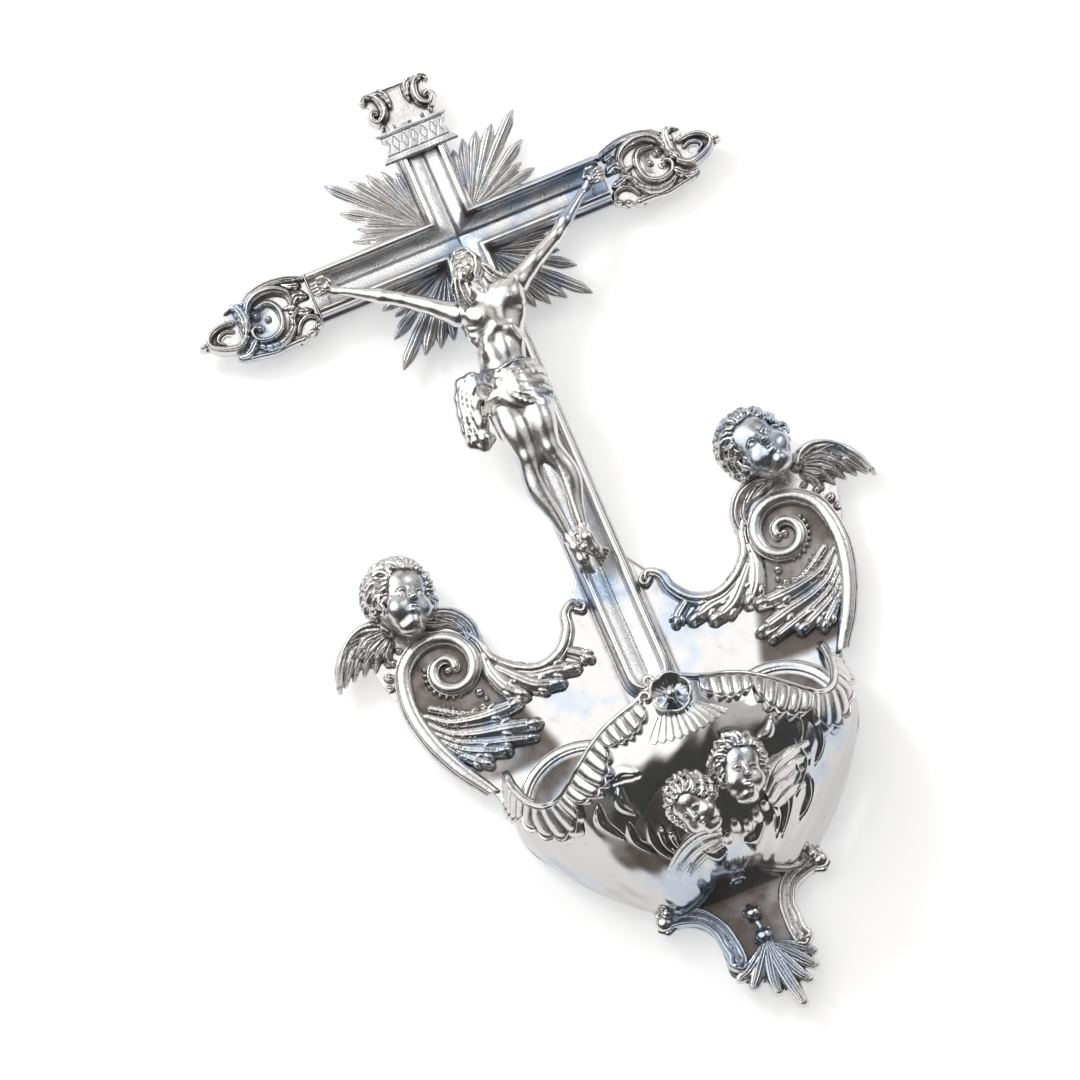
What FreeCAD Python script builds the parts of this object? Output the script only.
import FreeCAD, Part
import Sketcher
import math
import os
from FreeCAD import Matrix, Placement, Rotation, Vector

# Wall-hung holy water stoup in silver, in the form of an anchor.
# Frame: +X right, +Z up, the wall is the plane y = 0 and the front faces -Y.
# "Depth" below always means distance out from the wall, so y = -depth.
# The origin is the middle of the cross, on the back face.

doc = FreeCAD.newDocument("HolyWaterStoup")
sheet = doc.addObject("Spreadsheet::Sheet", "Sizes")

DRIVING = [
    ("sheet_thick", 1.0, "anchor plate and cross back sheet"),
    ("cross_half", 8.8, "half width of the cross over its flange"),
    ("cross_top", 42.0, "height of the cross top above its middle"),
    ("cross_reach", 50.0, "half length of the cross bar"),
    ("cross_foot", 164.0, "foot of the shaft below the middle of the cross"),
    ("back_foot", 118.0, "end of the cross back sheet below the middle"),
    ("box_half", 7.6, "half width of the raised box of the cross"),
    ("box_depth", 5.4, "depth of the top of the raised box"),
    ("wall_thick", 0.8, "sheet of the raised box"),
    ("cavity_depth", 3.4, "depth of the hollow in the cross"),
    ("channel_half", 4.4, "half width of the concave channel"),
    ("channel_sag", 1.2, "depth of the concave channel"),
    ("bead_line", 6.0, "bead wire centre line from the cross axis"),
    ("bead_half", 1.45, "half width of the bead wire"),
    ("bead_high", 2.0, "height of the bead wire"),
    ("window_half", 5.4, "half width of the window in the back sheet"),
    ("window_low", 14.5, "lower edge of the window"),
    ("window_high", 26.5, "upper edge of the window"),
    ("hinge_z", 24.0, "height of the line the hanging ring turns on"),
    ("hinge_depth", 1.6, "depth of that line"),
    ("ring_radius", 4.0, "hanging ring, to the wire's middle"),
    ("ring_wire", 0.5, "radius of the ring's wire"),
    ("eye_gap", 0.08, "running clearance of the ring in its eye"),
    ("eye_wire", 0.4, "radius of the eye's wire"),
    ("tip_x", 89.5, "tip of a cross terminal from the axis"),
    ("crest_z", 56.5, "top of the crest"),
    ("ribbon_half", 12.6, "half width of the titulus ribbon"),
    ("ribbon_low", 29.5, "lower edge of the ribbon"),
    ("ribbon_high", 40.0, "upper edge of the ribbon"),
    ("ribbon_thick", 0.9, "sheet of the ribbon"),
    ("ray_thick", 0.9, "sheet under the rays"),
    ("ray_high", 1.5, "height of a ray's ridge over its sheet"),
    ("volute_x", 57.5, "middle of a volute from the axis"),
    ("volute_z", -130.3, "height of the middle of a volute"),
    ("volute_r", 11.0, "radius of a volute's first turn"),
    ("volute_turns", 1.45, "turns of a volute"),
    ("volute_half", 1.9, "half width of the volute band"),
    ("volute_high", 4.2, "height of the volute band"),
    ("bead_ball", 1.15, "radius of a ball in the volute's bead row"),
    ("head_x", 62.0, "middle of a cherub head from the axis"),
    ("head_z", -102.5, "height of the middle of a cherub head"),
    ("head_r", 11.3, "radius of a cherub head across the cheeks"),
    ("wing_x", 93.5, "tip of a wing from the axis"),
    ("bowl_top", -169.0, "height of the bowl's rim where it meets the plate"),
    ("bowl_low", -233.0, "height of the bowl's foot"),
    ("belly_z", -190.0, "height of the widest part of the bowl"),
    ("bowl_half", 54.4, "half width of the bowl at the rim's ends"),
    ("belly_half", 57.8, "half width of the belly"),
    ("foot_half", 20.0, "half width of the foot"),
    ("rim_out", 49.0, "reach of the rim from the plate"),
    ("belly_out", 52.0, "reach of the belly from the plate"),
    ("bowl_thick", 0.9, "sheet of the bowl"),
    ("rim_wire", 1.1, "radius of the rolled rim wire"),
    ("lobe_x", 33.6, "middle of a lobe of the heart moulding from the axis"),
    ("lobe_z", -187.5, "height of the middle of a lobe"),
    ("lobe_rx", 18.5, "half width of a lobe's opening"),
    ("lobe_rz", 17.0, "half height of a lobe's opening"),
    ("lobe_band", 3.8, "width of the heart moulding"),
    ("lobe_high", 1.4, "height of the heart moulding"),
    ("flower_z", -177.5, "height of the rim flower"),
    ("flower_r", 7.0, "radius of the rim flower"),
    ("apron_z", -276.0, "tip of the leaf tail"),
    ("apron_ball", 2.6, "radius of a ball at the side of the apron"),
    ("nail_r", 0.7, "radius of a nail's shank"),
    ("nail_head", 1.7, "radius of a nail's head"),
    ("nut_half", 1.9, "nut, across flats halved"),
]

for number, (alias, value, note) in enumerate(DRIVING, start=1):
    sheet.set("A%d" % number, note)
    sheet.set("B%d" % number, str(value))
    sheet.setAlias("B%d" % number, alias)
doc.recompute()


def dim(alias):
    """A driving size, read back from the sheet."""
    return float(sheet.get(alias))


plate = dim("sheet_thick")


# ---------------------------------------------------------------- helpers

def at(x, depth, z):
    return Vector(x, -depth, z)


def box(name, x0, x1, d0, d1, z0, z1):
    """Part::Box between sheet expressions, d0 and d1 being depths."""
    obj = doc.addObject("Part::Box", name)
    obj.setExpression("Length", "(%s) - (%s)" % (x1, x0))
    obj.setExpression("Width", "(%s) - (%s)" % (d1, d0))
    obj.setExpression("Height", "(%s) - (%s)" % (z1, z0))
    obj.setExpression("Placement.Base.x", x0)
    obj.setExpression("Placement.Base.y", "-(%s)" % d1)
    obj.setExpression("Placement.Base.z", z0)
    return obj


def held(name, shape):
    """A finished shape kept as one object of the document."""
    obj = doc.addObject("Part::Feature", name)
    obj.Shape = shape
    return obj


def mirrored(shape):
    return shape.mirror(Vector(0, 0, 0), Vector(1, 0, 0))


def solid_of(shape):
    """The largest solid of a shape."""
    solids = sorted(shape.Solids, key=lambda s: s.Volume)
    return solids[-1]


def minus(shape, others):
    """Cut away what other pieces already fill, and keep the main solid."""
    near = [o for o in others if o.BoundBox.intersect(shape.BoundBox)]
    if near:
        shape = shape.cut(near)
    return solid_of(shape)


def joined(parts):
    return parts[0].fuse(parts[1:]) if len(parts) > 1 else parts[0]


def spline(points, depth, closed=False):
    curve = Part.BSplineCurve()
    curve.interpolate([at(x, depth, z) for x, z in points], PeriodicFlag=closed)
    return curve


def cut_sheet(points, d0, d1):
    """Sheet with a straight-sided outline through the points."""
    ring = [at(x, d0, z) for x, z in points]
    face = Part.Face(Part.makePolygon(ring + ring[:1]))
    return face.extrude(Vector(0, d0 - d1, 0))


def band(points, halves, highs, depth, stations):
    """Half-round strip along a smooth path, tapering along its length."""
    path = spline(points, depth)
    first = path.FirstParameter
    last = path.LastParameter
    sections = []
    for k in range(stations):
        share = k / (stations - 1)
        here = first + (last - first) * share
        centre = path.value(here)
        along = path.tangent(here)[0]
        side = along.cross(Vector(0, 1, 0)).normalize()
        slot = share * (len(halves) - 1)
        low = min(int(slot), len(halves) - 2)
        mix = slot - low
        half = halves[low] * (1 - mix) + halves[low + 1] * mix
        high = highs[low] * (1 - mix) + highs[low + 1] * mix
        left = centre - side * half
        right = centre + side * half
        crown = centre + Vector(0, -high, 0)
        arc = Part.Arc(left, crown, right).toShape()
        sections.append(Part.Wire([arc, Part.makeLine(right, left)]))
    return Part.makeLoft(sections, True, False)


def ellipsoid(x, depth, z, rx, rd, rz, turn=0.0, nod=0.0):
    """Ellipsoid with half sizes along X, depth and Z, turned in the wall plane."""
    stretch = Matrix(rx, 0, 0, 0, 0, rd, 0, 0, 0, 0, rz, 0, 0, 0, 0, 1)
    ball = Part.makeSphere(1.0).transformGeometry(stretch)
    spin = Rotation(Vector(0, 1, 0), turn) * Rotation(Vector(1, 0, 0), nod)
    ball.Placement = Placement(at(x, depth, z), spin)
    return ball


def lobe(x, z, angle, length, half, high, depth=plate):
    """Flat-backed leaf lobe on the plate, pointing along an angle from +X."""
    wide = ellipsoid(x, depth, z, length / 2, high, half, -angle)
    keep = Part.makeBox(400, 60, 400, Vector(-200, -depth - 60, -350))
    return wide.common(keep)


def limb(points):
    """Tapered round limb through (x, depth, z, radius) stations."""
    parts = []
    for x, depth, z, radius in points:
        parts.append(Part.makeSphere(radius, at(x, depth, z)))
    for (x0, e0, z0, r0), (x1, e1, z1, r1) in zip(points, points[1:]):
        start = at(x0, e0, z0)
        along = at(x1, e1, z1) - start
        if abs(r0 - r1) < 0.02:
            parts.append(Part.makeCylinder(r0, along.Length, start, along))
        else:
            parts.append(Part.makeCone(r0, r1, along.Length, start, along))
    return joined(parts)


def body(name):
    return doc.addObject("PartDesign::Body", name)


def plane_of(owner, role):
    return [f for f in owner.Origin.OriginFeatures if f.Role == role][0]


def rectangle(owner, name, half, low, high, depth):
    """Sketch on the wall plane: a rectangle centred on the axis.

    low and high are (sign, expression) pairs, measured from the origin.
    """
    sketch = owner.newObject("Sketcher::SketchObject", name)
    sketch.AttachmentSupport = (plane_of(owner, "XZ_Plane"), [""])
    sketch.MapMode = "FlatFace"
    sketch.setExpression("AttachmentOffset.Base.z", depth)
    z0 = low[0] * 10.0
    z1 = z0 + 10.0 if high[0] == low[0] else 10.0
    corners = [Vector(-5, z0, 0), Vector(5, z0, 0), Vector(5, z1, 0), Vector(-5, z1, 0)]
    for k in range(4):
        sketch.addGeometry(Part.LineSegment(corners[k], corners[(k + 1) % 4]), False)
    rules = sketch.addConstraint
    for k in range(4):
        rules(Sketcher.Constraint("Coincident", k, 2, (k + 1) % 4, 1))
    rules(Sketcher.Constraint("Horizontal", 2))
    rules([Sketcher.Constraint("Vertical", 1), Sketcher.Constraint("Vertical", 3)])
    rules(Sketcher.Constraint("Symmetric", 0, 1, 0, 2, -2))
    wide = rules(Sketcher.Constraint("DistanceX", 0, 1, 0, 2, 10.0))
    sketch.setExpression("Constraints[%d]" % wide, "2 * (%s)" % half)
    for corner, (sign, expr) in ((1, low), (2, high)):
        if sign < 0:
            rule = rules(Sketcher.Constraint("DistanceY", corner, 1, -1, 1, 10.0))
        else:
            rule = rules(Sketcher.Constraint("DistanceY", -1, 1, corner, 1, 10.0))
        sketch.setExpression("Constraints[%d]" % rule, expr)
    return sketch


def padded(owner, sketch, name, length):
    pad = owner.newObject("PartDesign::Pad", name)
    pad.Profile = sketch
    pad.setExpression("Length", length)
    sketch.Visibility = False
    return pad


def pocketed(owner, sketch, name, length):
    pocket = owner.newObject("PartDesign::Pocket", name)
    pocket.Profile = sketch
    pocket.Reversed = True
    pocket.setExpression("Length", length)
    sketch.Visibility = False
    return pocket


nodes = {}

# ---------------------------------------------------------------- cross

# Back sheet of the cross, with the window that the hanging ring lives in.
back = body("cross_back")
shaft = rectangle(back, "BackShaft", "Sizes.cross_half", (-1, "Sizes.back_foot"),
                  (1, "Sizes.cross_top"), "0")
padded(back, shaft, "BackShaftPad", "Sizes.sheet_thick")
bar = rectangle(back, "BackBar", "Sizes.cross_reach", (-1, "Sizes.cross_half"),
                (1, "Sizes.cross_half"), "0")
padded(back, bar, "BackBarPad", "Sizes.sheet_thick")
window = rectangle(back, "Window", "Sizes.window_half", (1, "Sizes.window_low"),
                   (1, "Sizes.window_high"), "0")
pocketed(back, window, "WindowPocket", "Sizes.sheet_thick")
nodes["cross_back"] = back

# Front of the cross: flange, raised hollow box, concave channel.
front = body("CrossBox")
for stem, half_x, top_z, low_z, start, thick in (
        ("Flange", "Sizes.cross_half", "Sizes.cross_top", "Sizes.cross_foot",
         "Sizes.sheet_thick", "Sizes.wall_thick"),
        ("Box", "Sizes.box_half", "Sizes.cross_top", "Sizes.cross_foot",
         "Sizes.sheet_thick", "Sizes.box_depth - Sizes.sheet_thick")):
    outline = rectangle(front, stem + "Shaft", half_x, (-1, low_z), (1, top_z), start)
    padded(front, outline, stem + "ShaftPad", thick)
    outline = rectangle(front, stem + "Bar", "Sizes.cross_reach", (-1, half_x),
                        (1, half_x), start)
    padded(front, outline, stem + "BarPad", thick)
hollow = "Sizes.box_half - Sizes.wall_thick"
hollow_depth = "Sizes.cavity_depth - Sizes.sheet_thick"
outline = rectangle(front, "HollowShaft", hollow, (-1, "Sizes.cross_foot - Sizes.wall_thick"),
                    (1, "Sizes.cross_top - Sizes.wall_thick"), "Sizes.sheet_thick")
pocketed(front, outline, "HollowShaftPocket", hollow_depth)
outline = rectangle(front, "HollowBar", "Sizes.cross_reach - Sizes.wall_thick",
                    (-1, hollow), (1, hollow), "Sizes.sheet_thick")
pocketed(front, outline, "HollowBarPocket", hollow_depth)

# The channel is cut by two long cylinders that just dip into the box.
channel_r = "(Sizes.channel_half ^ 2 + Sizes.channel_sag ^ 2) / (2 * Sizes.channel_sag)"
centre_y = "-(Sizes.box_depth - Sizes.channel_sag + %s)" % channel_r
runs = []
for name, base, length, axis in (
        ("ChannelShaft", "z", "Sizes.cross_top + Sizes.cross_foot", Rotation()),
        ("ChannelBar", "x", "2 * Sizes.cross_reach", Rotation(Vector(0, 1, 0), 90))):
    run = doc.addObject("Part::Cylinder", name)
    run.Placement = Placement(Vector(), axis)
    run.setExpression("Radius", channel_r)
    run.setExpression("Height", length)
    run.setExpression("Placement.Base.y", centre_y)
    run.setExpression("Placement.Base." + base,
                      "-Sizes.cross_foot" if base == "z" else "-Sizes.cross_reach")
    runs.append(run)
channels = doc.addObject("Part::MultiFuse", "Channels")
channels.Shapes = runs
cross = doc.addObject("Part::Cut", "cross_front")
cross.Base = front
cross.Tool = channels
nodes["cross_front"] = cross
doc.recompute()

cross_solid = cross.Shape
back_solid = back.Shape

# Half-round bead wires with mitred corners, soldered on the box.
line = dim("bead_line")
reach = dim("cross_reach")
box_top = dim("box_depth")


def bead_wire(edges):
    path = Part.Wire(edges)
    start = path.OrderedVertexes[0].Point
    along = path.OrderedEdges[0].tangentAt(path.OrderedEdges[0].FirstParameter)
    if (path.OrderedEdges[0].valueAt(path.OrderedEdges[0].FirstParameter) - start).Length > 1e-6:
        along = along * -1
    side = along.cross(Vector(0, 1, 0)).normalize() * dim("bead_half")
    crown = start + Vector(0, -dim("bead_high"), 0)
    arc = Part.Arc(start - side, crown, start + side).toShape()
    profile = Part.Wire([arc, Part.makeLine(start + side, start - side)])
    pipe = Part.BRepOffsetAPI.MakePipeShell(path)
    pipe.setTransitionMode(1)
    pipe.add(profile, False, False)
    pipe.build()
    pipe.makeSolid()
    return pipe.shape()


def run_of(points):
    spots = [at(x, box_top, z) for x, z in points]
    return [Part.makeLine(a, b) for a, b in zip(spots, spots[1:])]


wire_gap = 0.1
upper = bead_wire(run_of([(line, dim("cross_top")), (line, line), (reach - wire_gap, line)]))
nodes["bead_upper_right"] = held("bead_upper_right", upper)
nodes["bead_upper_left"] = held("bead_upper_left", mirrored(upper))
turn_z = -dim("cross_foot") + dim("cross_half") - 0.5
loop = run_of([(wire_gap - reach, -line), (-line, -line), (-line, turn_z)])
loop.append(Part.Arc(at(-line, box_top, turn_z), at(0, box_top, turn_z - line),
                     at(line, box_top, turn_z)).toShape())
loop += run_of([(line, turn_z), (line, -line), (reach - wire_gap, -line)])
nodes["bead_lower"] = held("bead_lower", bead_wire(loop))
beads = [nodes[n].Shape for n in ("bead_upper_right", "bead_upper_left", "bead_lower")]

# ---------------------------------------------------------------- hanging ring

ring = doc.addObject("Part::Torus", "hanging_ring")
ring.Placement = Placement(Vector(), Rotation(Vector(1, 0, 0), 90))
ring.setExpression("Radius1", "Sizes.ring_radius")
ring.setExpression("Radius2", "Sizes.ring_wire")
ring.setExpression("Placement.Base.y", "-Sizes.hinge_depth")
ring.setExpression("Placement.Base.z", "Sizes.hinge_z - Sizes.ring_radius")
nodes["hanging_ring"] = ring

turned = Rotation(Vector(0, 1, 0), 90)
barrel = doc.addObject("Part::Cylinder", "EyeBarrel")
barrel.setExpression("Radius", "Sizes.ring_wire + Sizes.eye_gap + 2 * Sizes.eye_wire")
bore = doc.addObject("Part::Cylinder", "EyeBore")
bore.setExpression("Radius", "Sizes.ring_wire + Sizes.eye_gap")
for turning in (barrel, bore):
    turning.Placement = Placement(Vector(), turned)
    turning.setExpression("Height", "2 * Sizes.eye_wire")
    turning.setExpression("Placement.Base.x", "-Sizes.eye_wire")
    turning.setExpression("Placement.Base.y", "-Sizes.hinge_depth")
    turning.setExpression("Placement.Base.z", "Sizes.hinge_z")
stub = box("EyeFoot", "-Sizes.eye_wire", "Sizes.eye_wire",
           "Sizes.hinge_depth + Sizes.ring_wire + Sizes.eye_gap + Sizes.eye_wire",
           "Sizes.cavity_depth", "Sizes.hinge_z - 2 * Sizes.eye_wire",
           "Sizes.hinge_z + 2 * Sizes.eye_wire")
solid_eye = doc.addObject("Part::Fuse", "EyeSolid")
solid_eye.Base = barrel
solid_eye.Tool = stub
eye = doc.addObject("Part::Cut", "hanging_eye")
eye.Base = solid_eye
eye.Tool = bore
nodes["hanging_eye"] = eye

# ---------------------------------------------------------------- titulus

ribbon_depth = box_top + dim("bead_high") - 0.25
mid = (dim("ribbon_low") + dim("ribbon_high")) / 2
half = dim("ribbon_half")
notch = half - 3.4
tails = [(-half, dim("ribbon_low") + 1), (-notch, mid), (-half, dim("ribbon_high")),
         (half, dim("ribbon_high")), (notch, mid), (half, dim("ribbon_low") + 1),
         (half - 4, dim("ribbon_low")), (4 - half, dim("ribbon_low"))]
ribbon = cut_sheet(tails, ribbon_depth, ribbon_depth + dim("ribbon_thick"))
nodes["titulus"] = held("titulus", minus(ribbon, beads))

# ---------------------------------------------------------------- ray sheaves

# Ray lengths by angle from the bar, read from the root in the cross corner.
RAYS = [(4, 20.0), (12, 18.0), (19, 22.5), (27, 19.0), (34, 26.5), (40, 23.0),
        (46, 34.5), (53, 22.5), (60, 26.0), (68, 19.0), (76, 21.5), (85, 18.0)]


def sheaf(sign_x, sign_z):
    """Fan of pointed ridged rays rising from the inner corner of the cross."""
    corner = dim("cross_half") - 1.5
    sheet_d0 = 0.4
    sheet_d1 = sheet_d0 + dim("ray_thick")
    outline = [(corner, corner)]
    parts = []
    for k, (angle, length) in enumerate(RAYS):
        bearing = math.radians(angle)
        wide = math.radians(3.6)
        valley = 0.80 * min(length, RAYS[k - 1][1] if k else length)
        outline.append((corner + valley * math.cos(bearing - wide),
                        corner + valley * math.sin(bearing - wide)))
        outline.append((corner + length * math.cos(bearing),
                        corner + length * math.sin(bearing)))
        root = at(corner, sheet_d1 + 0.2, corner)
        tip = at(corner + length * math.cos(bearing), sheet_d1 - 0.3,
                 corner + length * math.sin(bearing))
        flank = 0.62 * length
        left = at(corner + flank * math.cos(bearing + 0.9 * wide), sheet_d1 - 0.3,
                  corner + flank * math.sin(bearing + 0.9 * wide))
        right = at(corner + flank * math.cos(bearing - 0.9 * wide), sheet_d1 - 0.3,
                   corner + flank * math.sin(bearing - 0.9 * wide))
        crown = at(corner + flank * math.cos(bearing), sheet_d1 + dim("ray_high"),
                   corner + flank * math.sin(bearing))
        faces = []
        for trio in ((root, left, crown), (root, crown, right), (tip, crown, left),
                     (tip, right, crown), (root, right, left), (tip, left, right)):
            faces.append(Part.Face(Part.makePolygon(list(trio) + [trio[0]])))
        ridge = Part.Solid(Part.Shell(faces))
        if ridge.Volume < 0:
            ridge.reverse()
        parts.append(ridge)
    parts.insert(0, cut_sheet(outline, sheet_d0, sheet_d1))
    fan = joined(parts)
    turn = Matrix(sign_x, 0, 0, 0, 0, 1, 0, 0, 0, 0, sign_z, 0, 0, 0, 0, 1)
    fan = fan.transformGeometry(turn)
    return minus(fan, [cross_solid, back_solid])


for name, sign_x, sign_z in (("rays_upper_right", 1, 1), ("rays_upper_left", -1, 1),
                             ("rays_lower_right", 1, -1), ("rays_lower_left", -1, -1)):
    nodes[name] = held(name, sheaf(sign_x, sign_z))

# ---------------------------------------------------------------- terminals and crest

TERMINAL = [(reach + 0.4, 8.6), (53.5, 8.8), (58.0, 10.6), (64.0, 11.2), (72.4, 10.2), (78.6, 9.2),
            (80.8, 6.4), (86.0, 3.6), (dim("tip_x"), 0.0), (86.0, -3.8), (81.0, -6.4),
            (78.8, -8.8), (72.6, -10.0), (65.0, -11.4), (58.0, -10.8), (53.5, -8.9),
            (reach + 0.4, -8.6)]
TERM_BASE = 1.8


def terminal():
    edge = spline(TERMINAL, 0).toShape()
    close = Part.makeLine(at(*(TERMINAL[-1][0], 0, TERMINAL[-1][1])),
                          at(TERMINAL[0][0], 0, TERMINAL[0][1]))
    parts = [Part.Face(Part.Wire([edge, close])).extrude(Vector(0, -TERM_BASE, 0))]
    for s in (1, -1):
        arch = [(51.6, s * 5.4), (53.4, s * 8.4), (58.5, s * 9.6), (66.0, s * 9.4),
                (73.0, s * 7.6), (76.2, s * 4.4), (73.4, s * 2.0), (70.6, s * 3.8)]
        parts.append(band(arch, [1.5, 1.5, 1.4, 1.2], [3.4, 3.2, 2.8, 2.2],
                          TERM_BASE - 0.3, 15))
        parts.append(lobe(60.5, s * 4.4, s * 35, 11, 2.0, 3.4, TERM_BASE - 0.2))
        parts.append(lobe(80.0, s * 4.6, -s * 35, 9, 1.5, 2.4, TERM_BASE - 0.2))
    parts.append(lobe(64.5, 0, 0, 15, 3.2, 4.6, TERM_BASE - 0.2))
    parts.append(lobe(82.5, 0, 0, 9, 1.6, 3.0, TERM_BASE - 0.2))
    bar_end = Part.makeBox(20, 20, 60, Vector(reach - 20, -20, -30))
    return solid_of(joined(parts).cut(bar_end))


right_end = terminal()
nodes["terminal_right"] = held("terminal_right", right_end)
nodes["terminal_left"] = held("terminal_left", mirrored(right_end))

crest_low = dim("cross_top")
CREST = [(0.0, crest_low), (9.4, crest_low), (10.2, 44.5), (12.4, 48.0), (11.6, 51.6),
         (11.2, 54.4), (8.6, dim("crest_z")), (4.5, dim("crest_z") - 0.9)]
outline = CREST + [(-x, z) for x, z in reversed(CREST[1:])]
parts = [cut_sheet(outline, 0, TERM_BASE)]
for s in (1, -1):
    parts.append(lobe(s * 6.4, 49.5, 90 - s * 12, 12.5, 2.6, 3.8, TERM_BASE - 0.2))
    parts.append(lobe(s * 9.0, 46.0, 90 - s * 20, 8, 1.9, 2.8, TERM_BASE - 0.2))
parts.append(lobe(0, 48.5, 90, 11, 2.6, 2.2, TERM_BASE - 0.2))
nodes["crest"] = held("crest", solid_of(joined(parts)))

# ---------------------------------------------------------------- bowl surface

top_z = dim("bowl_top")
low_z = dim("bowl_low")
belly_share = (dim("belly_z") - low_z) / (top_z - low_z)


def swell(z, foot, belly, rim, power):
    """Half size of the bowl at a height: full belly, tucked foot."""
    share = (z - low_z) / (top_z - low_z)
    if share > belly_share:
        over = (share - belly_share) / (1 - belly_share)
        return belly - (belly - rim) * over ** 2
    rise = max(share / belly_share, 0.0)
    return foot + (belly - foot) * (1 - (1 - rise) ** power) ** (1 / power)


def bowl_point(angle, z, out=0.0):
    """Point of the bowl's outer face at an angle round it, 0 to 180 degrees."""
    wide = swell(z, dim("foot_half"), dim("belly_half"), dim("bowl_half"), 1.3) + out
    deep = swell(z, 0.6, dim("belly_out"), dim("rim_out"), 1.8) + out
    turn = math.radians(angle)
    return at(wide * math.cos(turn), plate + deep * math.sin(turn), z)


def rim_height(angle):
    """Waved rim: high at the plate, two dips, and an arch over the flower."""
    turn = math.radians(angle)
    wave = -181.05 + 8.55 * math.cos(4 * turn) + 3.57 * math.cos(6 * turn)
    return wave + 5.0 * math.exp(-((angle - 90) / 8.0) ** 2)


def curve_through(spots):
    curve = Part.BSplineCurve()
    curve.interpolate(spots)
    return curve.toShape()


def closed_patch(outer, inner, angles, shares, flat_ends=False):
    """Sheet between two curved faces, lofted round and closed by a face at each end."""
    ribs = []
    ends = []
    for angle in angles:
        outside = [outer(angle, share) for share in shares]
        within = [inner(angle, share) for share in shares]
        ribs.append(Part.Wire([curve_through(outside), Part.makeLine(outside[-1], within[-1]),
                               curve_through(within[::-1]), Part.makeLine(within[0], outside[0])]))
        if angle in (angles[0], angles[-1]):
            ends.append(Part.makeRuledSurface(curve_through(outside), curve_through(within)))
    if flat_ends:
        return Part.makeLoft(ribs, True, False)
    shell = Part.makeShell(Part.makeLoft(ribs, False, False).Faces + ends)
    shell.sewShape()
    solid = Part.Solid(shell)
    if solid.Volume < 0:
        solid.reverse()
    return solid


def between(first, last, count):
    return [first + (last - first) * k / (count - 1) for k in range(count)]


def bowl_height(angle, share):
    """Height of the sheet; its top edge just meets the wire."""
    return low_z + (rim_height(angle) - 0.4 * dim("rim_wire") - low_z) * share


thick = dim("bowl_thick")
bowl_angles = between(0, 180, 33)
bowl_shares = [math.sin(math.radians(k)) for k in between(0, 90, 9)]


def bowl_outer(angle, share):
    return bowl_point(angle, bowl_height(angle, share))


def bowl_inner(angle, share):
    lift = thick * 1.4 * (1 - share) ** 2
    spot = bowl_point(angle, bowl_height(angle, share) + lift, -thick)
    return Vector(spot.x, min(spot.y, -plate), spot.z)


bowl_shell = closed_patch(bowl_outer, bowl_inner, bowl_angles, bowl_shares, True)

# Rolled wire along the rim, seated on the sheet's edge.
spots = []
for angle in between(4, 176, 65):
    seat = bowl_point(angle, rim_height(angle), -thick / 2)
    spots.append(seat + Vector(0, 0, 0.6 * dim("rim_wire")))
rim_curve = Part.BSplineCurve()
rim_curve.interpolate(spots)
rim_path = Part.Wire([rim_curve.toShape()])
start_dir = rim_curve.tangent(rim_curve.FirstParameter)[0]
disc = Part.Wire([Part.makeCircle(dim("rim_wire"), spots[0], start_dir)])
rim = rim_path.makePipeShell([disc], True, True)
rim_roll = rim.common(Part.makeBox(200, 100, 200, Vector(-100, -100 - plate, -300)))
nodes["rim_wire"] = held("rim_wire", solid_of(rim_roll))
bowl = bowl_shell
nodes["bowl"] = held("bowl", bowl)

# ---------------------------------------------------------------- anchor plate

PLATE = [(8.8, -118.0), (13.2, -123.8), (15.4, -128.0), (16.2, -133.0), (20.5, -137.6),
         (28.0, -139.2), (36.2, -136.0), (43.0, -130.5), (46.0, -124.5), (49.6, -120.0),
         (55.0, -116.6), (62.5, -117.2), (70.0, -121.8), (75.0, -129.0), (76.4, -136.0),
         (75.4, -144.5), (71.6, -155.0), (66.0, -164.5), (60.5, -172.0), (58.2, -182.0),
         (57.0, -194.0), (50.0, -205.0), (40.0, -215.0), (31.0, -224.0), (25.4, -229.6)]
APRON = [(27.6, -233.0), (25.6, -236.4), (22.0, -236.4), (16.8, -239.0), (13.8, -244.0),
         (13.4, -250.0), (14.2, -256.0), (11.6, -259.6)]
foot_line = -263.0
right_side = [at(x, 0, z) for x, z in PLATE]
edge = Part.BSplineCurve()
edge.interpolate(right_side)
apron_edge = Part.BSplineCurve()
apron_edge.interpolate([at(25.4, 0, -229.6)] + [at(x, 0, z) for x, z in APRON]
                       + [at(8.5, 0, foot_line)])
half_edges = [edge.toShape(), apron_edge.toShape()]
mirror_edges = [mirrored(e) for e in half_edges]
closing = [Part.makeLine(at(-8.8, 0, -118.0), at(8.8, 0, -118.0)),
           Part.makeLine(at(-8.5, 0, foot_line), at(8.5, 0, foot_line))]
ring_edges = Part.sortEdges(half_edges + mirror_edges + closing)[0]
plate_solid = Part.Face(Part.Wire(ring_edges)).extrude(Vector(0, -plate, 0))


# Two shallow dishes behind the bowl, inside the heart-lobed moulding.
def oval(grow, d0, d1):
    ring_x = dim("lobe_x")
    ring_z = dim("lobe_z")
    curve = Part.Ellipse(Vector(0, 0, 0), dim("lobe_rx") + grow, dim("lobe_rz") + grow)
    face = Part.Face(Part.Wire([curve.toShape()])).extrude(Vector(0, 0, d1 - d0))
    face.Placement = Placement(at(ring_x, d0, ring_z), Rotation(Vector(1, 0, 0), 90))
    return face


dish_deep = 0.55
dish = ellipsoid(dim("lobe_x"), plate + 0.02, dim("lobe_z"), dim("lobe_rx"), dish_deep,
                 dim("lobe_rz"))
plate_solid = plate_solid.cut([dish, mirrored(dish)])
nodes["anchor_plate"] = held("anchor_plate", solid_of(plate_solid))

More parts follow.
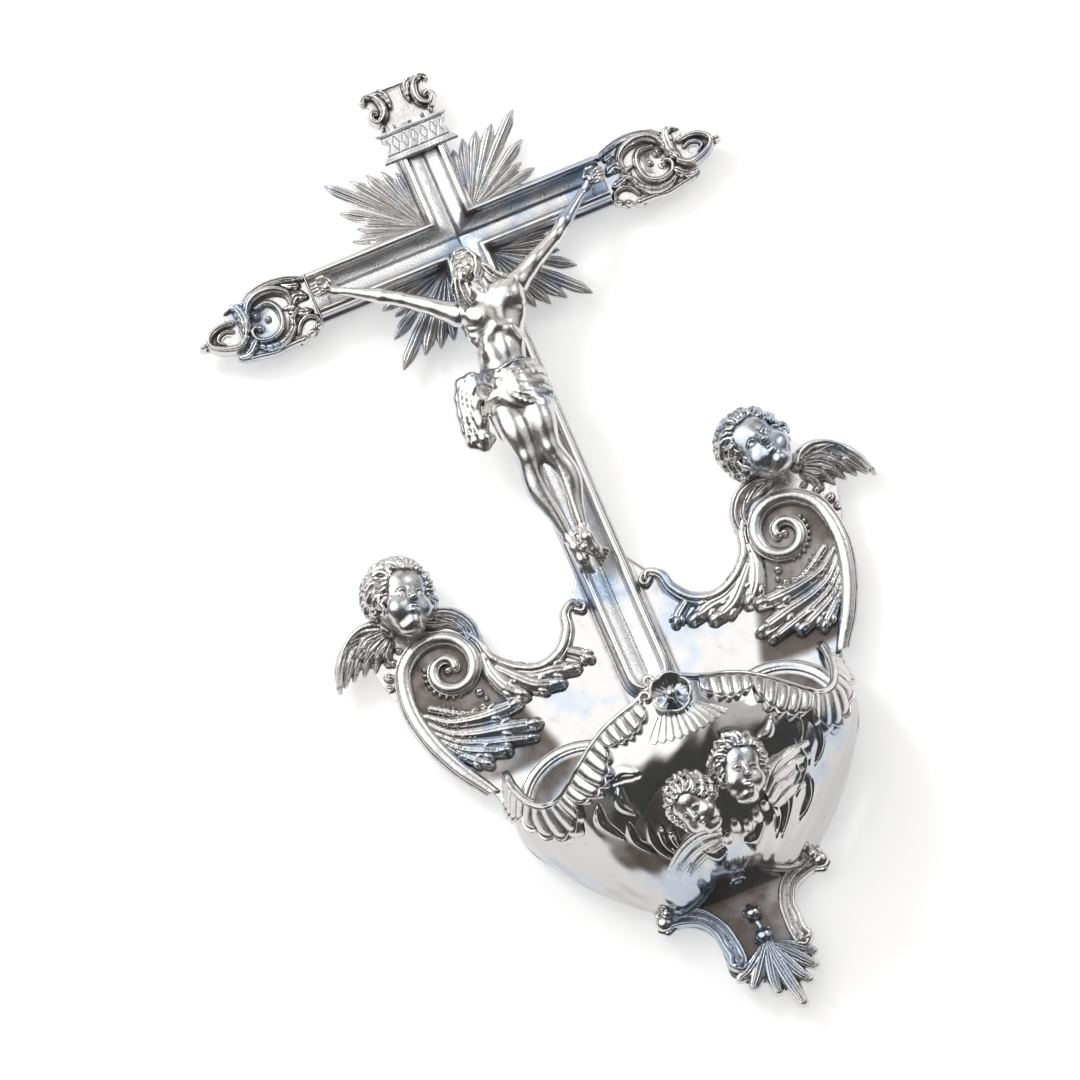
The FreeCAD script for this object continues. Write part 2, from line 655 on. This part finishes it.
high = plate + dim("lobe_high")
heart = oval(dim("lobe_band"), plate, high).cut(oval(0, plate - 1, high + 1))
nodes["heart_lobe_right"] = held("heart_lobe_right", solid_of(heart))
nodes["heart_lobe_left"] = held("heart_lobe_left", mirrored(nodes["heart_lobe_right"].Shape))

# ---------------------------------------------------------------- volutes

vx = dim("volute_x")
vz = dim("volute_z")
SCROLL_TAIL = [(61.2, -170.4), (66.8, -161.5), (71.6, -150.0), (73.6, -138.0)]
coil = []
turns = dim("volute_turns")
for k in range(16):
    share = k / 15
    bearing = math.radians(15 + 360 * turns * share)
    radius = (dim("volute_r") + 3.6 * (1 - share) ** 6) * (1 - 0.80 * share)
    coil.append((vx + radius * math.cos(bearing), vz + radius * math.sin(bearing)))
scroll = band(SCROLL_TAIL + coil, [1.6, dim("volute_half"), dim("volute_half"), 1.5, 1.0],
              [2.6, dim("volute_high"), dim("volute_high"), 3.8, 3.0], plate, 40)
volute = solid_of(scroll)
nodes["volute_right"] = held("volute_right", volute)
nodes["volute_left"] = held("volute_left", mirrored(volute))

ball = dim("bead_ball")
row = []
for k in range(8):
    bearing = math.radians(18 - 15.5 * k)
    away = 7.9 + 0.12 * k
    centre = at(vx + away * math.cos(bearing), plate + 0.55 * ball, vz + away * math.sin(bearing))
    row.append(Part.makeSphere(ball, centre))
floor = Part.makeBox(200, 20, 400, Vector(-100, -plate, -350))
row = [s.cut([floor, volute]) for s in row]
bead_row = Part.makeCompound([solid_of(s) for s in row])
nodes["volute_beads_right"] = held("volute_beads_right", bead_row)
nodes["volute_beads_left"] = held("volute_beads_left", mirrored(bead_row))

# ---------------------------------------------------------------- leaf arms and sprays

ARM = [(12.2, -127.4), (13.4, -124.8), (17.0, -127.6), (18.2, -133.4), (22.6, -139.2),
       (30.0, -141.4), (37.4, -138.6), (43.4, -132.4), (45.0, -125.4), (48.2, -120.2)]
parts = [band(ARM, [0.9, 1.5, 2.2, 2.6, 2.4, 1.8, 1.0], [2.0, 3.0, 3.4, 3.4, 3.0, 2.6, 1.8],
              plate, 30)]
parts.append(lobe(24.2, -143.8, 255, 9.5, 2.2, 2.4))
parts.append(lobe(33.5, -144.2, 285, 9.0, 2.2, 2.4))
parts.append(lobe(40.0, -141.4, 300, 9.5, 2.2, 2.4))
arm = minus(joined(parts), [volute])
nodes["leaf_arm_right"] = held("leaf_arm_right", arm)
nodes["leaf_arm_left"] = held("leaf_arm_left", mirrored(arm))

SPRAY = [(62.5, -150.5, 222, 20, 3.4), (57.5, -150.0, 205, 20, 3.0), (52.5, -150.5, 196, 20, 2.8),
         (51.5, -155.5, 214, 20, 2.8), (57.0, -157.5, 232, 18, 2.8), (62.0, -159.0, 245, 15, 2.6)]
parts = [lobe(x, z, angle, length, half, 3.0) for x, z, angle, length, half in SPRAY]
beads_right = nodes["volute_beads_right"].Shape
spray = minus(joined(parts), [volute, arm] + beads_right.Solids)
nodes["spray_right"] = held("spray_right", spray)
nodes["spray_left"] = held("spray_left", mirrored(spray))

berries = []
for x, z in ((47.6, -146.0), (43.6, -148.6)):
    berry = Part.makeSphere(1.5, at(x, plate + 0.9, z))
    berries.append(solid_of(berry.cut([floor, spray, arm])))
group = Part.makeCompound(berries + [mirrored(b) for b in berries])
nodes["spray_berries"] = held("spray_berries", group)

# ---------------------------------------------------------------- cherubs on the volutes

hx = dim("head_x")
hz = dim("head_z")
hr = dim("head_r")
lean = -22.0
skull = ellipsoid(hx, 7.8, hz + 1.2, hr, 8.6, hr + 1.6, lean)
cheeks = ellipsoid(hx - 0.8, 10.0, hz - 4.4, 8.2, 7.2, 8.4, lean)
nose = ellipsoid(hx - 0.6, 17.0, hz - 3.6, 1.3, 1.4, 2.0, lean)
neck = limb([(hx + 1.5, 5.0, hz - 8.5, 4.6), (hx + 2.6, 4.6, hz - 13.0, 4.6)])
curls = []
for k in range(9):
    bearing = math.radians(-40 + 32.5 * k - lean)
    curls.append(ellipsoid(hx + 9.4 * math.cos(bearing), 9.0,
                           hz + 1.6 + 10.2 * math.sin(bearing), 3.0, 4.0, 3.0))
head = joined([skull, cheeks, nose, neck] + curls)
head = minus(head, [Part.makeBox(200, 60, 400, Vector(-100, -1.0, -350)), volute])
nodes["cherub_head_right"] = held("cherub_head_right", head)
nodes["cherub_head_left"] = held("cherub_head_left", mirrored(head))

wing_tip = dim("wing_x")
FEATHERS = [(83.0, -115.5, -19, 22.0, 2.5), (82.5, -118.5, -30, 21.0, 2.3),
            (80.5, -120.8, -42, 19.0, 2.3), (78.2, -122.4, -56, 17.0, 2.2),
            (76.0, -122.0, -72, 14.5, 2.2)]
parts = [lobe(x, z, angle, length, half, 3.2, 1.0) for x, z, angle, length, half in FEATHERS]
parts.append(lobe(wing_tip - 9.6, -117.4, -24, 20.0, 2.2, 2.4, 1.0))
parts.append(lobe(74.6, -112.0, -22, 12.0, 4.8, 4.6, 1.0))
wing = minus(joined(parts), [head, volute])
nodes["cherub_wing_right"] = held("cherub_wing_right", wing)
nodes["cherub_wing_left"] = held("cherub_wing_left", mirrored(wing))

parts = [band([(56.5, -112.6), (51.0, -112.4), (46.6, -115.6), (45.4, -120.4), (47.6, -123.8)],
              [1.4, 2.2, 2.2, 1.4, 0.9], [3.4, 4.4, 4.0, 3.0, 2.0], plate, 13)]
parts.append(lobe(53.6, -114.4, 205, 13.0, 2.6, 3.6))
leaf = minus(joined(parts), [head, volute, arm, wing])
nodes["shoulder_leaf_right"] = held("shoulder_leaf_right", leaf)
nodes["shoulder_leaf_left"] = held("shoulder_leaf_left", mirrored(leaf))

# ---------------------------------------------------------------- shell border, flower, cherubs of the bowl

gap = 0.1
SHELLS = [(4, 25, 10.5), (25.5, 48, 11.0), (48.5, 72, 10.0)]


def scallop(first, last, drop):
    def spot(angle, share, out):
        middle = (angle - first) / (last - first)
        fall = drop * (0.45 + 0.55 * math.sin(math.pi * middle) ** 0.7)
        z = rim_height(angle) - dim("rim_wire") * 0.6 - fall * share
        return bowl_point(angle, z, out)
    ribs = 1.25
    return closed_patch(lambda a, s: spot(a, s, gap + ribs * (0.75 + 0.25 * math.sin(3 * s))),
                        lambda a, s: spot(a, s, gap), between(first, last, 13),
                        between(0, 1, 5))


border = [scallop(first, last, drop) for first, last, drop in SHELLS]
border_shape = Part.makeCompound(border)
nodes["shell_border_right"] = held("shell_border_right", border_shape)
nodes["shell_border_left"] = held("shell_border_left", mirrored(border_shape))

fz = dim("flower_z")
fr = dim("flower_r")


def fan_spot(angle, share, out):
    """Fluted fan that spreads down the bowl from the flower."""
    z = fz - fr - 0.2 - (4.5 + 3.5 * math.sin(math.radians(angle - 75) * 6)) * share
    return bowl_point(angle, z, out)


fan = closed_patch(lambda a, s: fan_spot(a, s, gap + 1.1 + 0.3 * math.cos(math.radians(a) * 60)),
                   lambda a, s: fan_spot(a, s, gap), between(75, 105, 25), between(0, 1, 5))
nodes["flower_fan"] = held("flower_fan", fan)

# The flower is a dished disc on a short boss, clear of the rim wire.
cup_depth = -bowl_point(90, fz - fr).y + 0.2
cup = Part.makeCone(fr - 1.6, fr, 3.0, at(0, cup_depth, fz), Vector(0, -1, 0))
dent = Part.makeCone(2.0, fr - 1.4, 2.2, at(0, cup_depth + 1.0, fz), Vector(0, -1, 0))
boss = Part.makeCylinder(2.6, 3.0, at(0, cup_depth - 2.5, fz), Vector(0, -1, 0))
flower = minus(joined([cup.cut(dent), boss]), [bowl])
nodes["rim_flower"] = held("rim_flower", flower)
stud = Part.makeSphere(1.9, at(0, cup_depth + 2.4, fz))
nodes["flower_stud"] = held("flower_stud", minus(stud, [flower]))


def front_of(shape, others):
    """The solid of a relief that lies outside the bowl."""
    rest = shape.cut(others)
    return sorted(rest.Solids, key=lambda s: s.BoundBox.YMin * s.Volume ** 0.1)[0]


def bowl_head(x, z, radius, turn):
    sink = -bowl_point(90, z).y - 0.4
    shape = joined([ellipsoid(x, sink, z, radius, 0.62 * radius, radius * 1.08, turn),
                    ellipsoid(x, sink + 0.25 * radius, z - 0.45 * radius, 0.7 * radius,
                              0.5 * radius, 0.7 * radius, turn)])
    return shape


large = front_of(bowl_head(10.0, -205.0, 8.6, 12), [bowl])
small = front_of(bowl_head(-6.2, -209.5, 7.6, -10), [bowl, large])
nodes["bowl_cherub_large"] = held("bowl_cherub_large", large)
nodes["bowl_cherub_small"] = held("bowl_cherub_small", small)


def bowl_wing(first, last, z, turn_sign):
    """Feathered wing hammered up from the bowl's side."""
    def spot(angle, share, out):
        middle = (angle - first) / (last - first)
        high = 5.6 * math.sin(math.pi * (0.12 + 0.88 * middle)) ** 0.6 + 0.6
        height = z + turn_sign * 0.0 + high * (1 - 2 * share) + 3.0 * middle
        return bowl_point(angle, height, out)
    return closed_patch(lambda a, s: spot(a, s, gap + 1.3), lambda a, s: spot(a, s, gap),
                        between(first, last, 13), between(0, 1, 7))


wings = []
for first, last in ((70, 42), (100, 128)):
    part = bowl_wing(first, last, -208.0, 1)
    part = part.cut([large, small])
    wings.append(solid_of(part))
nodes["bowl_cherub_wings"] = held("bowl_cherub_wings", Part.makeCompound(wings))

# ---------------------------------------------------------------- apron

APRON_SCROLL = [(25.6, -232.4), (26.6, -234.0), (25.0, -235.8), (19.8, -236.4), (14.8, -240.6),
                (12.2, -246.6), (12.4, -252.6), (11.8, -256.4)]
scroll = band(APRON_SCROLL, [1.0, 1.5, 1.6, 1.5, 1.1], [2.0, 3.0, 3.0, 2.6, 1.8], plate, 22)
apron_scroll = scroll
ball_x = 27.0
ball = dim("apron_ball")
one = Part.makeSphere(ball, at(ball_x, plate + 0.5 * ball, -233.4)).cut(floor)
ball_group = [one, mirrored(one)]
apron_scroll = minus(apron_scroll, [one])
nodes["apron_scroll_right"] = held("apron_scroll_right", apron_scroll)
nodes["apron_scroll_left"] = held("apron_scroll_left", mirrored(apron_scroll))
nodes["apron_balls"] = held("apron_balls", Part.makeCompound(ball_group))

berries = []
for x, z, radius in ((0, -241.2, 2.6), (0, -249.0, 3.2), (-3.4, -253.0, 1.9), (3.4, -253.0, 1.9)):
    berry = Part.makeSphere(radius, at(x, plate + 0.45 * radius, z))
    berry = berry.cut([floor] + berries)
    berries.append(solid_of(berry))
nodes["apron_berries"] = held("apron_berries", Part.makeCompound(berries))

TAIL = [(0.0, -264.5, 270, 23.0, 3.2), (-4.6, -262.0, 252, 17.0, 2.6), (4.6, -262.0, 288, 17.0, 2.6),
        (-8.6, -259.4, 236, 14.0, 2.3), (8.6, -259.4, 304, 14.0, 2.3)]
parts = [lobe(x, z, angle, length, half, 3.2, plate) for x, z, angle, length, half in TAIL]
tail = joined(parts)
stem = minus(tail, berries + [apron_scroll, mirrored(apron_scroll)])
nodes["apron_tail"] = held("apron_tail", stem)

# ---------------------------------------------------------------- corpus

torso = joined([
    limb([(-2.2, 14.0, -24.5, 6.2), (-2.8, 14.6, -33.0, 6.6), (-3.6, 14.2, -41.0, 5.3),
          (-3.9, 14.4, -47.5, 5.2), (-3.6, 14.8, -54.0, 6.4)]),
    limb([(-8.6, 14.4, -23.6, 3.7), (4.4, 14.4, -23.0, 3.7)]),
    ellipsoid(-2.8, 16.4, -30.0, 7.8, 4.6, 7.6),
    limb([(-2.0, 15.0, -22.0, 2.9), (-2.6, 17.8, -16.5, 2.7)]),
])
head = joined([
    ellipsoid(-3.0, 19.0, -11.6, 4.6, 5.4, 6.2, -12, -14),
    ellipsoid(-1.4, 16.8, -11.0, 5.4, 5.0, 6.4, -12),
    ellipsoid(-3.8, 21.6, -17.4, 2.6, 2.8, 3.4, -8),
    limb([(2.2, 15.6, -14.0, 2.2), (3.4, 15.2, -20.0, 2.0), (3.0, 16.6, -24.0, 1.4)]),
])
legs = []
for knee_x, ankle_x, hip_x, lift in ((-9.0, -5.6, -6.9, 0.0), (-1.2, -2.6, -0.6, 0.9)):
    legs.append(limb([(hip_x, 15.0, -56.0, 5.2), ((hip_x + knee_x) / 2 - 0.4, 17.0, -67.0, 4.7),
                      (knee_x, 18.6 + lift, -78.8, 3.5), (knee_x * 0.7 + ankle_x * 0.3, 16.0, -88.0, 3.5),
                      (ankle_x, 12.6 + lift, -106.0, 2.1)]))
feet = joined([limb([(-5.6, 12.6, -106.0, 2.2), (-4.8, 12.4, -112.0, 2.6), (-3.6, 11.2, -118.2, 1.7)]),
               limb([(-2.6, 13.4, -106.0, 2.2), (-3.4, 15.0, -111.6, 2.5), (-4.8, 13.4, -118.4, 1.6)])])
cloth = joined([ellipsoid(-3.8, 14.8, -51.0, 9.0, 7.0, 5.6, 4),
                ellipsoid(-4.4, 15.4, -57.0, 8.8, 7.0, 7.0, 6),
                limb([(-2.0, 21.0, -51.0, 2.2), (-4.6, 21.6, -56.0, 2.0), (-4.0, 20.6, -62.0, 1.4)])])
figure = joined([torso, head] + legs + [feet, cloth])

drape = joined([limb([(-11.4, 14.0, -49.6, 2.4), (-17.0, 13.0, -47.0, 2.4), (-20.6, 12.0, -50.6, 2.3),
                      (-19.6, 11.6, -57.0, 2.8), (-22.0, 11.0, -63.0, 2.3), (-20.6, 10.6, -67.4, 1.7)]),
                limb([(-13.4, 13.2, -52.0, 2.6), (-15.6, 12.2, -59.0, 2.6), (-17.2, 11.6, -65.0, 2.0)])])

# A nail through each palm and one through the crossed feet, with nuts in the box.
hand_x = 45.6
hand_z = -1.0
NAILS = [(-hand_x, hand_z, 10.6), (hand_x, hand_z, 10.6), (-3.6, -113.6, 16.6)]


def arm_of(sign):
    stations = [(sign * 10.6 - 1.0, 14.4, -23.2, 3.5), (sign * 18.5 - 0.6, 13.8, -17.6, 2.8),
                (sign * 26.8, 13.0, -13.6, 2.3), (sign * 34.0, 11.4, -8.6, 2.2),
                (sign * 41.6, 9.6, -3.8, 1.5)]
    palm = ellipsoid(sign * (hand_x - 0.6), 9.2, hand_z - 0.2, 3.6, 1.5, 2.7, -sign * 32)
    fingers = [limb([(sign * (hand_x + 1.6), 9.3, hand_z + 1.8 - 1.3 * k, 0.75),
                     (sign * (hand_x + 4.4), 10.4, hand_z + 2.6 - 1.6 * k, 0.65),
                     (sign * (hand_x + 3.6), 11.9, hand_z + 1.6 - 1.4 * k, 0.55)])
               for k in range(4)]
    thumb = limb([(sign * (hand_x - 1.8), 9.6, hand_z + 1.4, 0.8),
                  (sign * (hand_x - 0.4), 10.8, hand_z + 3.4, 0.65)])
    return joined([limb(stations), palm, thumb] + fingers)


nail_solids = []
nut_solids = []
for x, z, depth in NAILS:
    low = 1.6
    shank = Part.makeCylinder(dim("nail_r"), depth - low, at(x, low, z), Vector(0, -1, 0))
    knob = ellipsoid(x, depth, z, dim("nail_head"), 0.9, dim("nail_head"))
    nail_solids.append(solid_of(joined([shank, knob])))
    angles = [math.radians(60 * k) for k in range(6)]
    across = dim("nut_half") / math.cos(math.pi / 6)
    hexagon = [(x + across * math.cos(a), z + across * math.sin(a)) for a in angles]
    nut = cut_sheet(hexagon, dim("cavity_depth") - 1.6, dim("cavity_depth"))
    nut_solids.append(solid_of(nut.cut(nail_solids[-1])))
nail_group = Part.makeCompound(nail_solids)
nodes["corpus_nails"] = held("corpus_nails", nail_group)
nodes["nail_nuts"] = held("nail_nuts", Part.makeCompound(nut_solids))

figure = minus(figure, nail_solids)
nodes["corpus_body"] = held("corpus_body", figure)
for name, sign in (("corpus_arm_right", 1), ("corpus_arm_left", -1)):
    shape = minus(arm_of(sign), nail_solids + [figure])
    nodes[name] = held(name, shape)
drape = minus(drape, [figure, nodes["corpus_arm_left"].Shape])
nodes["corpus_drape"] = held("corpus_drape", drape)

# Nail holes through the face of the cross.
drilled = doc.addObject("Part::Cut", "cross_drilled")
drilled.Base = cross
holes = doc.addObject("Part::Compound", "NailHoles")
drills = []
for k, (x, z, depth) in enumerate(NAILS):
    hole = doc.addObject("Part::Cylinder", "NailHole%d" % k)
    hole.Placement = Placement(at(x, 0, z), Rotation(Vector(1, 0, 0), 90))
    hole.setExpression("Radius", "Sizes.nail_r")
    hole.setExpression("Height", "Sizes.box_depth + Sizes.bead_high")
    drills.append(hole)
holes.Links = drills
drilled.Tool = holes
cross.Label = "CrossUndrilled"
drilled.Label = "cross_front"
nodes["cross_front"] = drilled
doc.recompute()

# ---------------------------------------------------------------- write the pieces

os.makedirs("parts", exist_ok=True)
for obj in doc.Objects:
    if "Invalid" in obj.State or "Error" in obj.State:
        raise RuntimeError("%s is in state %s" % (obj.Label, obj.State))
for node, obj in nodes.items():
    obj.Label = node
    shape = obj.Shape
    if shape.isNull() or not shape.isValid() or not shape.Solids:
        raise RuntimeError("%s has no valid solid" % node)
    shape.exportStep("parts/%s.step" % node)
    print("%-22s solids %2d  volume %9.1f mm3" % (node, len(shape.Solids), shape.Volume))
print("pieces written:", len(nodes))
